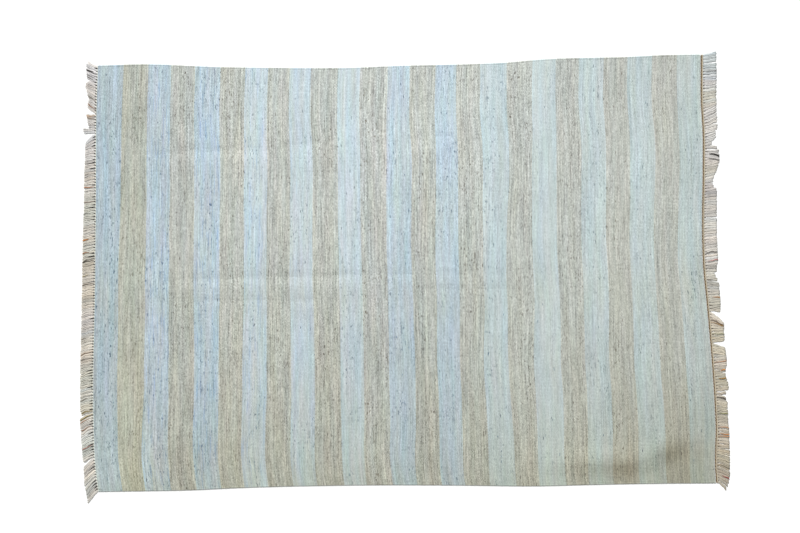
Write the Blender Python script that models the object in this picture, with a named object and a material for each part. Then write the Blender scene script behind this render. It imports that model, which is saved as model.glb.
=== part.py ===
"""A striped dhurrie rug lying flat: the flatwoven field, the twined cord that finishes one end,
and a fringe of warp tassels at each end.

Metres. X runs along the rug, with the corded end at +X, Y runs across it and Z = 0 is the floor.
"Far" is the +Y side and "near" the -Y side. The origin is under the middle of the whole outline.
"""

from collections import namedtuple

import bpy
import numpy as np
from mathutils import Matrix

# ---- Driving sizes ----------------------------------------------------------------------------
CLOTH = 0.0045  # thickness of the flatweave
STRIPES = 25  # blue first and last
STRIPE_STEPS = 2  # steps of the field's grid along each stripe's width
ACROSS_STEPS = 56  # and between its two selvedges
SEAT_GAP = 0.0003  # between pieces that touch on the real rug

SELVEDGE_CREST = 0.004  # from the edge to the crest of the thickened selvedge
SELVEDGE_WIDTH = 0.012  # where the selvedge runs out into the plain cloth
SELVEDGE_RISE = 0.0008  # how far its crest stands above the cloth
SELVEDGE_EDGE = 0.0030  # height of its rounded outer edge

CORD_WIDTH = 0.0080
CORD_HEIGHT = 0.0052
CORD_STEPS = 30

HEADING_WIDTH = 0.0040  # the strip of woven heading that the tassels leave
TASSELS = 150  # at each end
TASSEL_MARGIN = 0.006  # from the rug's corner to the middle of the first tassel
TASSEL_EASE = 1.3  # a tassel leaves the heading squarely and then leans over
CLEAR_SHARE = 0.90  # the most of the room between its neighbours that a tassel fills

# ---- The outline ------------------------------------------------------------------------------
# Each edge stands `out` from the middle of the rug, at `along` it. Hand weaving leaves them bowed.
Edge = namedtuple("Edge", "along out")
FAR_EDGE = (
    Edge(along=-1.160, out=0.798),
    Edge(along=-1.000, out=0.804),
    Edge(along=-0.605, out=0.789),
    Edge(along=-0.208, out=0.791),
    Edge(along=0.302, out=0.808),
    Edge(along=0.586, out=0.826),
    Edge(along=1.115, out=0.840),
)
NEAR_EDGE = (
    Edge(along=-1.151, out=0.812),
    Edge(along=-0.945, out=0.810),
    Edge(along=-0.605, out=0.798),
    Edge(along=-0.208, out=0.789),
    Edge(along=0.302, out=0.791),
    Edge(along=0.756, out=0.786),
    Edge(along=1.177, out=0.783),
)
LEFT_EDGE = (
    Edge(along=-0.812, out=1.151),
    Edge(along=-0.730, out=1.158),
    Edge(along=-0.617, out=1.172),
    Edge(along=-0.466, out=1.177),
    Edge(along=-0.088, out=1.172),
    Edge(along=0.290, out=1.170),
    Edge(along=0.630, out=1.166),
    Edge(along=0.798, out=1.160),
)
RIGHT_EDGE = (
    Edge(along=-0.783, out=1.177),
    Edge(along=-0.617, out=1.173),
    Edge(along=-0.496, out=1.169),
    Edge(along=-0.315, out=1.158),
    Edge(along=-0.088, out=1.138),
    Edge(along=0.003, out=1.130),
    Edge(along=0.060, out=1.124),
    Edge(along=0.547, out=1.121),
    Edge(along=0.668, out=1.117),
    Edge(along=0.840, out=1.115),
)

# ---- Where the cloth lifts off the floor ------------------------------------------------------
# A soft ridge `height` high along the line through its points, fading out over `half_width`
# to each side and over `fade` at each end.
Fold = namedtuple("Fold", "line height half_width fade")
FOLDS = (
    # The ripple across the near right corner.
    Fold(line=((0.55, -0.690), (0.89, -0.685), (1.13, -0.612)), height=0.009, half_width=0.060, fade=0.14),
    # Two ridges left by the rug's storage folds.
    Fold(line=((-1.00, -0.050), (0.20, -0.035)), height=0.0022, half_width=0.060, fade=0.15),
    Fold(line=((-1.05, 0.455), (-0.20, 0.470)), height=0.0020, half_width=0.060, fade=0.15),
    # The swell in the middle of the far half.
    Fold(line=((-0.03, 0.440), (0.18, 0.500)), height=0.0035, half_width=0.070, fade=0.09),
)

# ---- How the tassels lie ----------------------------------------------------------------------
# A tassel whose root is `root` from the far corner has its tip `lean` further towards the near
# side and `reach` out from the heading. Between two rows the tassels fan evenly, and where two
# rows have nearly the same root the fringe parts.
Lock = namedtuple("Lock", "root lean reach")
LEFT_LOCKS = (
    Lock(0.000, -0.015, 0.027),
    Lock(0.013, -0.015, 0.041),
    Lock(0.062, -0.013, 0.036),
    Lock(0.066, -0.006, 0.023),
    Lock(0.096, -0.026, 0.041),
    Lock(0.142, -0.017, 0.026),
    Lock(0.181, -0.024, 0.029),
    Lock(0.186, 0.004, 0.033),
    Lock(0.233, 0.002, 0.024),
    Lock(0.238, 0.004, 0.042),
    Lock(0.244, 0.004, 0.044),
    Lock(0.254, 0.003, 0.039),
    Lock(0.260, 0.033, 0.034),
    Lock(0.274, 0.027, 0.035),
    Lock(0.316, 0.008, 0.036),
    Lock(0.505, 0.008, 0.039),
    Lock(0.641, 0.011, 0.044),
    Lock(0.883, 0.011, 0.047),
    Lock(1.072, 0.015, 0.047),
    Lock(1.291, 0.013, 0.048),
    Lock(1.306, 0.014, 0.039),
    Lock(1.310, 0.022, 0.046),
    Lock(1.374, 0.026, 0.046),
    Lock(1.474, 0.023, 0.048),
    Lock(1.480, 0.036, 0.049),
    Lock(1.510, 0.038, 0.052),
    Lock(1.548, 0.038, 0.052),
    Lock(1.574, 0.042, 0.046),
    Lock(1.602, 0.042, 0.039),
)
RIGHT_LOCKS = (
    Lock(0.002, -0.011, 0.048),
    Lock(0.055, -0.002, 0.050),
    Lock(0.168, -0.008, 0.049),
    Lock(0.236, -0.019, 0.047),
    Lock(0.285, -0.013, 0.046),
    Lock(0.296, -0.011, 0.036),
    Lock(0.316, -0.013, 0.042),
    Lock(0.334, -0.017, 0.035),
    Lock(0.339, 0.010, 0.045),
    Lock(0.365, 0.011, 0.051),
    Lock(0.395, 0.009, 0.050),
    Lock(0.425, -0.006, 0.048),
    Lock(0.452, -0.009, 0.040),
    Lock(0.474, -0.006, 0.030),
    Lock(0.490, -0.004, 0.028),
    Lock(0.505, -0.002, 0.033),
    Lock(0.516, -0.002, 0.045),
    Lock(0.697, -0.004, 0.043),
    Lock(0.781, -0.004, 0.047),
    Lock(0.818, -0.004, 0.040),
    Lock(0.829, -0.001, 0.029),
    Lock(0.840, 0.003, 0.038),
    Lock(0.860, 0.004, 0.045),
    Lock(0.936, 0.000, 0.043),
    Lock(0.971, 0.002, 0.039),
    Lock(0.977, 0.044, 0.045),
    Lock(1.007, 0.028, 0.046),
    Lock(1.088, -0.012, 0.045),
    Lock(1.094, 0.017, 0.045),
    Lock(1.115, 0.006, 0.045),
    Lock(1.174, -0.002, 0.047),
    Lock(1.196, -0.004, 0.039),
    Lock(1.219, -0.002, 0.038),
    Lock(1.249, -0.004, 0.044),
    Lock(1.272, -0.004, 0.043),
    Lock(1.283, 0.002, 0.031),
    Lock(1.306, 0.011, 0.039),
    Lock(1.378, 0.004, 0.040),
    Lock(1.491, 0.008, 0.042),
    Lock(1.529, 0.015, 0.043),
    Lock(1.567, 0.021, 0.040),
    Lock(1.593, 0.021, 0.033),
    Lock(1.620, 0.025, 0.024),
)

# A tassel's three-sided section at each `share` of its length, flat side down.
Section = namedtuple("Section", "share width height")
TASSEL_SECTIONS = (
    Section(share=0.00, width=0.0064, height=CLOTH),
    Section(share=0.30, width=0.0088, height=0.0044),
    Section(share=0.68, width=0.0094, height=0.0036),
    Section(share=1.00, width=0.0080, height=0.0024),
)

# ---- Colours: base colour, roughness ----------------------------------------------------------
BLUE_WEFT = (0.51, 0.60, 0.64), 0.92
BEIGE_WEFT = (0.48, 0.50, 0.45), 0.92
CORD_BROWN = (0.27, 0.20, 0.11), 0.85
FRINGE_ECRU = (0.60, 0.58, 0.53), 0.90


def material(name, look):
    colour, roughness = look
    made = bpy.data.materials.new(name)
    made.use_nodes = True
    shader = made.node_tree.nodes["Principled BSDF"]
    shader.inputs["Base Color"].default_value = (*colour, 1.0)
    shader.inputs["Roughness"].default_value = roughness
    shader.inputs["Metallic"].default_value = 0.0
    return made


def make_object(name, points, faces, materials, face_material=None):
    mesh = bpy.data.meshes.new(name)
    mesh.from_pydata([tuple(map(float, point)) for point in points], [], faces)
    for entry in materials:
        mesh.materials.append(entry)
    if face_material is not None:
        mesh.polygons.foreach_set("material_index", face_material)
    mesh.update()
    made = bpy.data.objects.new(name, mesh)
    bpy.context.scene.collection.objects.link(made)
    return made


def edge_out(edge, along):
    """How far out a bowed edge stands at `along`, on a smooth curve through its rows."""
    knots = np.array([row.along for row in edge])
    outs = np.array([row.out for row in edge])
    slopes = np.gradient(outs, knots)
    i = np.clip(np.searchsorted(knots, along) - 1, 0, len(knots) - 2)
    step = knots[i + 1] - knots[i]
    u = (along - knots[i]) / step
    rising = u * u * (3 - 2 * u)
    return (
        outs[i] * (1 - rising)
        + outs[i + 1] * rising
        + step * u * (1 - u) * (slopes[i] * (1 - u) - slopes[i + 1] * u)
    )


def edge_ends(edge):
    return edge[0].along, edge[-1].along


def field_point(length_share, across_share):
    """A point of the field's plan: its four bowed edges blended, so the stripes follow them."""
    s, t = length_share, across_share
    near_x = np.interp(s, (0, 1), edge_ends(NEAR_EDGE))
    far_x = np.interp(s, (0, 1), edge_ends(FAR_EDGE))
    left_y = np.interp(t, (0, 1), edge_ends(LEFT_EDGE))
    right_y = np.interp(t, (0, 1), edge_ends(RIGHT_EDGE))
    near = np.array((near_x, -edge_out(NEAR_EDGE, near_x)))
    far = np.array((far_x, edge_out(FAR_EDGE, far_x)))
    left = np.array((-edge_out(LEFT_EDGE, left_y), left_y))
    right = np.array((edge_out(RIGHT_EDGE, right_y), right_y))
    near_left, near_right, far_left, far_right = (
        np.array((sign * end_edge[end].out, end_edge[end].along))
        for end_edge, sign, end in (
            (LEFT_EDGE, -1, 0),
            (RIGHT_EDGE, 1, 0),
            (LEFT_EDGE, -1, -1),
            (RIGHT_EDGE, 1, -1),
        )
    )
    corners = (1 - t) * ((1 - s) * near_left + s * near_right) + t * ((1 - s) * far_left + s * far_right)
    return (1 - t) * near + t * far + (1 - s) * left + s * right - corners


def fold_lift(fold, point):
    """The height of one fold over a point of the plan."""
    line = np.array(fold.line)
    starts, runs = line[:-1], np.diff(line, axis=0)
    lengths = np.linalg.norm(runs, axis=1)
    shares = np.clip(((point - starts) * runs).sum(axis=1) / lengths**2, 0, 1)
    feet = starts + shares[:, None] * runs
    aways = np.linalg.norm(point - feet, axis=1)
    nearest = int(aways.argmin())
    travelled = lengths[:nearest].sum() + shares[nearest] * lengths[nearest]
    to_end = min(travelled, lengths.sum() - travelled)
    across = 0.5 + 0.5 * np.cos(np.pi * min(1.0, aways[nearest] / fold.half_width))
    lengthwise = 0.5 - 0.5 * np.cos(np.pi * min(1.0, to_end / fold.fade))
    return fold.height * across * lengthwise


def lift(point):
    return max(fold_lift(fold, point) for fold in FOLDS)


def woven_field():
    """The one woven cloth: a sheet of even thickness that lifts at its folds, with its selvedges
    rounded, and its faces coloured by the stripe that they lie in."""
    width = FAR_EDGE[0].out + NEAR_EDGE[0].out
    crest, end = SELVEDGE_CREST / width, SELVEDGE_WIDTH / width
    inner = np.linspace(end, 1 - end, ACROSS_STEPS + 1)
    rows = [0.0, crest, *inner, 1 - crest, 1.0]
    selvedge = [SELVEDGE_EDGE, CLOTH + SELVEDGE_RISE]
    tops = selvedge + [CLOTH] * len(inner) + selvedge[::-1]
    columns = np.linspace(0, 1, STRIPES * STRIPE_STEPS + 1)

    under, over = [], []
    for across, top in zip(rows, tops):
        for share in columns:
            x, y = field_point(share, across)
            height = lift(np.array((x, y)))
            under.append((x, y, height))
            over.append((x, y, height + top))

    wide, deep, offset = len(columns), len(rows), len(under)
    faces, stripe = [], []
    for j in range(deep - 1):
        for i in range(wide - 1):
            a, b = j * wide + i, j * wide + i + 1
            c, d = b + wide, a + wide
            faces += [(a + offset, b + offset, c + offset, d + offset), (a, d, c, b)]
            stripe += [i // STRIPE_STEPS % 2] * 2
    for i in range(wide - 1):
        last = (deep - 1) * wide + i
        faces += [(i, i + 1, i + 1 + offset, i + offset), (last + 1, last, last + offset, last + 1 + offset)]
        stripe += [i // STRIPE_STEPS % 2] * 2
    for j in range(deep - 1):
        left, right = j * wide, j * wide + wide - 1
        faces += [
            (left + wide, left, left + offset, left + wide + offset),
            (right, right + wide, right + wide + offset, right + offset),
        ]
        stripe += [0, 0]
    looks = [material("blue_weft", BLUE_WEFT), material("beige_weft", BEIGE_WEFT)]
    return make_object("woven_field", under + over, faces, looks, stripe)


def end_line(edge, side, distance, y):
    """The point at `y` on the line that runs `distance` outside an end of the field."""
    return np.array((side * (edge_out(edge, y) + distance), y))


def end_cord():
    """The brown cord twined along the right end, flat underneath."""
    half = CORD_WIDTH / 2
    shoulder = 0.55 * CORD_HEIGHT
    crown = 0.55 * half
    section = (
        (-half, 0.0),
        (half, 0.0),
        (half, shoulder),
        (crown, CORD_HEIGHT),
        (-crown, CORD_HEIGHT),
        (-half, shoulder),
    )
    middle = SEAT_GAP + half
    stations = np.linspace(*edge_ends(RIGHT_EDGE), CORD_STEPS + 1)
    points = []
    for y in stations:
        x = end_line(RIGHT_EDGE, 1, middle, y)[0]
        points += [(x + sideways, y, height) for sideways, height in section]
    sides = len(section)
    faces = [tuple(range(sides)), tuple(reversed(range(CORD_STEPS * sides, (CORD_STEPS + 1) * sides)))]
    for k in range(CORD_STEPS):
        for m in range(sides):
            a, b = k * sides + m, k * sides + (m + 1) % sides
            faces.append((a, a + sides, b + sides, b))
    return make_object("end_cord", points, faces, [material("cord_brown", CORD_BROWN)])


def tassel_lines(edge, side, locks, distance):
    """The middle line of every tassel, as points [tassel, section, (x, y)]."""
    near, far = edge_ends(edge)
    roots = np.linspace(TASSEL_MARGIN, far - near - TASSEL_MARGIN, TASSELS)
    known = [lock.root for lock in locks]
    leans = np.interp(roots, known, [lock.lean for lock in locks])
    reaches = np.interp(roots, known, [lock.reach for lock in locks])
    shares = np.array([section.share for section in TASSEL_SECTIONS])
    y = far - roots[:, None] - leans[:, None] * shares**TASSEL_EASE
    x = side * (edge_out(edge, np.clip(y, near, far)) + distance + reaches[:, None] * shares)
    return np.stack((x, y), axis=2)


def tassel_widths(lines):
    """Each tassel's width at each section, less where its neighbours lie close, and its direction."""
    along = np.gradient(lines, axis=1)
    along /= np.linalg.norm(along, axis=2, keepdims=True)
    step = np.diff(lines, axis=0)
    room = np.abs(along[:-1, :, 0] * step[:, :, 1] - along[:-1, :, 1] * step[:, :, 0])
    closest = np.minimum(np.vstack((room[:1], room)), np.vstack((room, room[-1:])))
    full = np.array([section.width for section in TASSEL_SECTIONS])
    return np.minimum(full, CLEAR_SHARE * closest), along


Post = namedtuple("Post", "inner_low inner_high outer_low outer_high")


def heading_span(far, near):
    """The four sides of a stretch of heading between two posts."""
    return [
        (far.outer_low, far.outer_high, near.outer_high, near.outer_low),
        (far.inner_high, near.inner_high, near.outer_high, far.outer_high),
        (far.inner_low, far.outer_low, near.outer_low, near.inner_low),
        (far.inner_low, near.inner_low, near.inner_high, far.inner_high),
    ]


def fringe(name, edge, side, locks, inset):
    """A heading strip `inset` outside the field, and the tassels that leave it, as one solid."""
    outset = inset + HEADING_WIDTH
    lines = tassel_lines(edge, side, locks, outset)
    widths, along = tassel_widths(lines)
    points, faces = [], []

    def add(x, y, z):
        points.append((x, y, z))
        return len(points) - 1

    def post(y):
        """The four corners of the heading at `y`."""
        inner, outer = end_line(edge, side, inset, y), end_line(edge, side, outset, y)
        return Post(add(*inner, 0.0), add(*inner, CLOTH), add(*outer, 0.0), add(*outer, CLOTH))

    def ring(centre, direction, width, height):
        """One section of a tassel: its low corners on the far and the near side, and its top."""
        sideways = side * width / 2 * np.array((-direction[1], direction[0]))
        return add(*(centre + sideways), 0.0), add(*(centre - sideways), 0.0), add(*centre, height)

    near_y, far_y = edge_ends(edge)
    before = post(far_y)
    faces.append((before.inner_low, before.inner_high, before.outer_high, before.outer_low))
    for line, tassel_width, directions in zip(lines, widths, along):
        directions[0] = (side, 0.0)
        rings = [
            ring(centre, direction, width, section.height)
            for centre, direction, width, section in zip(line, directions, tassel_width, TASSEL_SECTIONS)
        ]
        for start, end in zip(rings, rings[1:]):
            faces += [(start[m], start[m - 1], end[m - 1], end[m]) for m in range(3)]
        faces.append(tuple(reversed(rings[-1])))
        # The root takes the place of the heading's outer side, and its top is at the heading's.
        root_far, root_near, root_top = rings[0]
        inner = end_line(edge, side, inset, line[0][1])
        inner_low, inner_high = add(*inner, 0.0), add(*inner, CLOTH)
        faces += heading_span(before, Post(inner_low, inner_high, root_far, root_top))
        faces.append((inner_low, root_far, root_near))
        before = Post(inner_low, inner_high, root_near, root_top)
    last = post(near_y)
    faces += heading_span(before, last)
    faces.append((last.inner_low, last.outer_low, last.outer_high, last.inner_high))
    if side < 0:
        faces = [tuple(reversed(face)) for face in faces]
    return make_object(name, points, faces, [material(name + "_yarn", FRINGE_ECRU)])


def centre_on_origin(objects):
    """Moves every mesh so that the origin is under the middle of the whole outline."""
    corners = np.array([vertex.co for made in objects for vertex in made.data.vertices])
    middle = (corners.min(axis=0) + corners.max(axis=0)) / 2
    for made in objects:
        made.data.transform(Matrix.Translation((-middle[0], -middle[1], 0.0)))


def main():
    for old in list(bpy.data.objects):
        bpy.data.objects.remove(old)
    right_inset = SEAT_GAP + CORD_WIDTH + SEAT_GAP
    centre_on_origin(
        [
            woven_field(),
            end_cord(),
            fringe("fringe_left", LEFT_EDGE, -1, LEFT_LOCKS, SEAT_GAP),
            fringe("fringe_right", RIGHT_EDGE, 1, RIGHT_LOCKS, right_inset),
        ]
    )


main()
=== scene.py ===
"""The looks of the dhurrie rug: its woven cloth with ribs, creases and slubs, the twined cord and
headings at its ends, and the twisted yarns of its fringes.

Metres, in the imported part's frame. X runs along the rug, with the corded end at +X, and Y across
it. "Far" is the +Y side and "near" the -Y side, as in the photograph's top and bottom. The tables
measure from the middle of the cloth, and ORIGIN moves them to the frame's own origin.
"""

from collections import namedtuple
from functools import partialmethod
from math import pi

import bpy
import numpy as np
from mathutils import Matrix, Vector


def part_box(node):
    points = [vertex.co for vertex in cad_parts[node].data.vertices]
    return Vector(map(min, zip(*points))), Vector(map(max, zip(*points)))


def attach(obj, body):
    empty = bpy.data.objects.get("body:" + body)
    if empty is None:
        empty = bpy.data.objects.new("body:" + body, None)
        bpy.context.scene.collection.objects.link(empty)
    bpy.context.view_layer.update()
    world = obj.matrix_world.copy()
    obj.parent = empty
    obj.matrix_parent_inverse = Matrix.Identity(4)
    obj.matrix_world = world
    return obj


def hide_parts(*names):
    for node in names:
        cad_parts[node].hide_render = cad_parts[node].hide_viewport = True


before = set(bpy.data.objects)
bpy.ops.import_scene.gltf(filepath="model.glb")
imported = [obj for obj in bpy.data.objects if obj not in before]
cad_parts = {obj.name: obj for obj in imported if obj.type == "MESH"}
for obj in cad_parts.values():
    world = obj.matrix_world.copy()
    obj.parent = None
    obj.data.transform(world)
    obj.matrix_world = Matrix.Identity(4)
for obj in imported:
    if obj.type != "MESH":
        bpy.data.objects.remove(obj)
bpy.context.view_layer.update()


def rows(kind, *table):
    """A table's rows, with the columns that `kind` names."""
    return [kind(*row) for row in table]


def rows_mm(kind, *table):
    """The same from a table in millimetres."""
    return rows(kind, *([value / 1000 for value in row] for row in table))


# ---- Sizes shared with the part ----
CLOTH = 0.0045
STRIPES = 25
SEAT_GAP = 0.0003
CORD_WIDTH = 0.008
HEADING_WIDTH = 0.004
TASSELS = 150
TASSEL_MARGIN = 0.006
TASSEL_EASE = 1.3

# How far out a bowed edge stands at places along it. These follow the photograph up to 7 mm closer
# than the part's.
Edge = namedtuple("Edge", "along out")
FAR_EDGE = rows_mm(
    Edge,
    (-1160, 798), (-980, 803), (-714, 793), (-500, 790), (-208, 790), (0, 798), (253, 804),
    (374, 809), (495, 820), (858, 832), (979, 838), (1115, 840),
)
NEAR_EDGE = rows_mm(
    Edge,
    (-1157, 812), (-945, 809), (-835, 807), (-605, 797), (-208, 788), (200, 788), (495, 791),
    (737, 785), (979, 781), (1173, 780),
)
LEFT_EDGE = rows_mm(
    Edge,
    (-812, 1157), (-757, 1165), (-700, 1171), (-617, 1175), (-466, 1178), (-88, 1172), (290, 1168),
    (630, 1166), (798, 1160),
)
RIGHT_EDGE = rows_mm(
    Edge,
    (-780, 1173), (-723, 1169), (-647, 1169), (-572, 1171), (-496, 1168), (-315, 1156), (-88, 1136),
    (33, 1124), (100, 1121), (260, 1120), (380, 1122), (562, 1121), (638, 1116), (840, 1115),
)

# Tassels by the distance of their root from the far corner: how far their tips lean away from
# that corner, and how far out of the heading they reach. Those between two rows are in between.
Lock = namedtuple("Lock", "root lean reach")
LEFT_LOCKS = rows_mm(
    Lock,
    (0, -15, 27), (13, -15, 41), (62, -13, 36), (66, -6, 23), (96, -26, 41), (142, -17, 26),
    (181, -24, 29), (186, 4, 33), (233, 2, 24), (238, 4, 42), (244, 4, 44), (254, 3, 39),
    (260, 33, 34), (274, 27, 35), (316, 8, 36), (440, 8, 41), (505, 8, 40), (641, 11, 44),
    (883, 11, 45), (1072, 15, 45), (1291, 13, 45), (1306, 14, 39), (1310, 22, 46), (1374, 26, 44),
    (1430, 25, 42), (1474, 23, 41), (1480, 36, 41), (1510, 38, 42), (1548, 38, 46), (1574, 42, 43),
    (1602, 42, 37),
)
RIGHT_LOCKS = rows_mm(
    Lock,
    (2, -11, 48), (55, -2, 50), (168, -8, 49), (236, -19, 47), (285, -13, 48), (296, -11, 36),
    (316, -13, 42), (331, -10, 33), (341, -5, 23), (352, -1, 46), (365, 2, 52), (395, 2, 52),
    (425, -6, 48), (452, -9, 40), (474, -6, 30), (490, -4, 28), (505, -2, 33), (516, -2, 45),
    (697, -4, 46), (781, -4, 48), (818, -4, 40), (829, -1, 29), (840, 3, 38), (860, 4, 45),
    (936, 0, 43), (971, 2, 39), (977, 42, 45), (992, 31, 46), (1007, 18, 46), (1030, 5, 46),
    (1088, -12, 45), (1094, 17, 45), (1115, 6, 45), (1174, -2, 47), (1196, -4, 39), (1219, -2, 38),
    (1249, -4, 47), (1272, -4, 46), (1283, 2, 31), (1306, 11, 39), (1378, 4, 38), (1491, 8, 46),
    (1529, 15, 47), (1567, 21, 45), (1581, 21, 41), (1593, 25, 38), (1603, 28, 34), (1620, 26, 24),
)

# The part's cord ends at its cloth's near corner, which ties the tables to the frame.
PART_CORNER = (1.177, -0.783)
CORD_LOW, CORD_HIGH = (np.array(corner[:2]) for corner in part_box("end_cord"))
ORIGIN = np.array(PART_CORNER) + (SEAT_GAP + CORD_WIDTH - CORD_HIGH[0], -CORD_LOW[1])

# ---- Relief of the cloth ----
# A soft ridge, or a hollow where `height` is below zero, along the line through its points. It
# fades out over `half_width` to each side and over `fade` at each end. A sharp side leaves the
# crest at once. The folds lift the cloth off the floor, within 5 mm of the part's own.
Fold = namedtuple("Fold", "line height half_width fade near_sharp far_sharp", defaults=(0.0, 0.0))
RIPPLE = (
    *((0.5, -0.698), (0.69, -0.701), (0.83, -0.702)),
    *((0.92, -0.683), (1.01, -0.632), (1.13, -0.612)),
)
FOLDS = (
    Fold(RIPPLE, 0.009, 0.08, 0.16, near_sharp=1.0),
    Fold(((-1.0, -0.05), (0.2, -0.035)), 0.0022, 0.06, 0.15),
    Fold(((-1.05, 0.418), (-0.2, 0.432)), 0.0024, 0.06, 0.15),
    Fold(((-0.03, 0.44), (0.18, 0.5)), 0.0035, 0.07, 0.09),
)
MIDDLE_HOLLOW = ((-1.0, -0.014), (-0.78, -0.01), (-0.6, -0.004), (-0.2, 0.004), (0.05, 0.008))
CREASES = (
    # The fold across the middle, between two hollows.
    Fold(MIDDLE_HOLLOW, -0.0031, 0.036, 0.3, 0.5, 0.9),
    Fold(((-0.14, 0.01), (0.12, 0.01), (0.5, 0.009)), -0.0014, 0.034, 0.14, 0.6, 1.0),
    Fold(((-0.95, -0.092), (-0.6, -0.089), (-0.24, -0.09)), -0.0016, 0.028, 0.14, 1.0, 1.0),
    Fold(((-0.02, -0.046), (0.2, -0.046), (0.46, -0.044)), -0.0017, 0.032, 0.12, 1.0, 1.0),
    # The hollow beside the fold across the far half.
    Fold(((-1.0, 0.462), (-0.67, 0.477), (-0.48, 0.484)), -0.003, 0.045, 0.12, 1.0, 1.0),
    Fold(((-0.52, 0.488), (-0.27, 0.506)), -0.0018, 0.036, 0.1, 1.0, 1.0),
    Fold(((-0.02, 0.52), (0.2, 0.536)), -0.0017, 0.03, 0.07, 1.0, 1.0),
    # The fold along the middle.
    Fold(((-0.07, 0.66), (-0.06, 0.2), (-0.1, -0.2), (-0.18, -0.47)), -0.0008, 0.034, 0.16),
    # A slack line towards the near edge.
    Fold(((0.0, -0.1), (0.03, -0.34), (0.15, -0.62), (0.23, -0.78)), -0.0009, 0.034, 0.1),
    # Short puckers.
    Fold(((-0.9, -0.64), (-0.62, -0.655)), -0.0006, 0.024, 0.1),
    Fold(((-0.24, -0.735), (0.06, -0.725)), -0.0008, 0.028, 0.11),
    Fold(((0.42, -0.745), (0.8, -0.765)), -0.0006, 0.026, 0.12),
)
PUCKER = 0.00035  # height of the cloth's slight unevenness all over
CREST = 0.12  # share of a fold's half width that rounds the crest of a sharp side

# ---- The weave ----
RIBS = 2 * TASSELS - 4  # every tassel gathers two warps, and the selvedges hold the rest
RIB_ROWS = 3  # rows of points across each rib
RIB_RISE = 0.0002
STRIPE_COLUMNS = 4  # columns of points in each stripe
UNDER_ROWS = 60
PICK = 0.00125  # from one weft to the next
CLOTH_LENGTH = 2.305
CLOTH_WIDTH = 1.605
STRIPE_WIDTH = CLOTH_LENGTH / STRIPES

# The selvedge's rounded profile: distance in from the edge, height above the underside.
Rim = namedtuple("Rim", "inset height")
SELVEDGE = rows(
    Rim,
    (0.0, 0.0021), (0.0006, 0.0038), (0.0018, 0.0049), (0.0035, 0.0053), (0.0054, 0.0049),
    (0.007, 0.0043),
)
RIM_UNDER = 0.0016  # the underside starts this far in
RIM_TO_RIBS = 0.0009  # from the profile's last row to the first rib
RIM_RELIEF = 0.3  # how much of the creases the firmer selvedge takes
RIB_WANDER = 0.0009  # how far the warps wander, as hand-laid ones do
SHARP_ANGLE = 1.05  # between faces that meet in an edge, in radians

# Hand weaving lets the stripes drift: how far the start of each one stands off from an even
# spacing, in millimetres, along five lines from the far edge to the near one.
Drift = namedtuple("Drift", "far high middle low near")
DRIFTS = rows(
    Drift,
    (0, 0, 0, 0, 0), (6, 4, -3, -2, -4), (11, 9, 7, 6, -10), (4, 4, 3, 4, -4), (4, 5, 5, 6, -3),
    (7, 11, 10, 5, -4), (11, 9, 11, 2, -9), (8, 8, 6, 2, -11), (-3, 2, 2, 0, -9),
    (-15, -5, -4, -3, -12), (-2, -2, 6, -1, -2), (-12, -10, -2, -5, -14), (2, -2, 2, -3, -8),
    (-6, 1, 3, 2, -8), (0, 2, 2, -10, -10), (-11, -5, -1, -13, -12), (-11, -2, 0, -17, -10),
    (-1, 5, -6, -19, -5), (4, -1, 4, -15, -12), (0, 0, 5, -6, -5), (-4, 2, 5, -9, -12),
    (-1, 3, 9, -12, -11), (-3, 2, 2, -11, -7), (0, 7, 3, -4, 4), (5, 7, 2, -1, 0), (0, 0, 0, 0, 0),
)
DRIFT_LINES = (1.0, 0.93, 0.74, 0.5, 0.26, 0.07, 0.0)  # shares of the width

# ---- Yarns ----
# Colours are sRGB, 0 to 255.
Weft = namedtuple("Weft", "colour fleck contrast flecks")
SLATE = Weft((168, 183, 190), (62, 84, 100), 1.0, 1.0)
SKY = Weft((179, 192, 198), (60, 84, 114), 1.02, 0.88)
HAZE = Weft((180, 195, 202), (60, 84, 110), 0.95, 0.75)
MIST = Weft((188, 201, 205), (70, 92, 108), 0.75, 0.75)
PALE = Weft((187, 199, 199), (84, 104, 116), 0.62, 0.45)
MINT = Weft((183, 195, 195), (74, 92, 100), 0.8, 0.7)
OLIVE = Weft((174, 177, 166), (96, 92, 76), 1.25, 0.75)
SAND = Weft((181, 184, 177), (100, 92, 78), 1.48, 0.9)
TAUPE = Weft((179, 183, 177), (94, 88, 80), 1.42, 0.9)
UMBER = Weft((178, 181, 174), (94, 86, 74), 1.15, 0.75)
BARE = MINT._replace(colour=(182, 194, 193), flecks=0.45)
LAST = MINT._replace(colour=(182, 193, 191), flecks=0.75)
DULL = MIST._replace(colour=(185, 198, 200))
DUNE = SAND._replace(colour=(180, 184, 180))
FLECKY = HAZE._replace(flecks=1.05)
CHART = (
    *(SLATE, OLIVE, SKY, TAUPE, FLECKY, SAND, MIST, TAUPE, MIST, TAUPE, MIST, DUNE, HAZE),
    *(TAUPE, HAZE, TAUPE, DULL, TAUPE, PALE, TAUPE, MINT, UMBER, BARE, UMBER, LAST),
)

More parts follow.
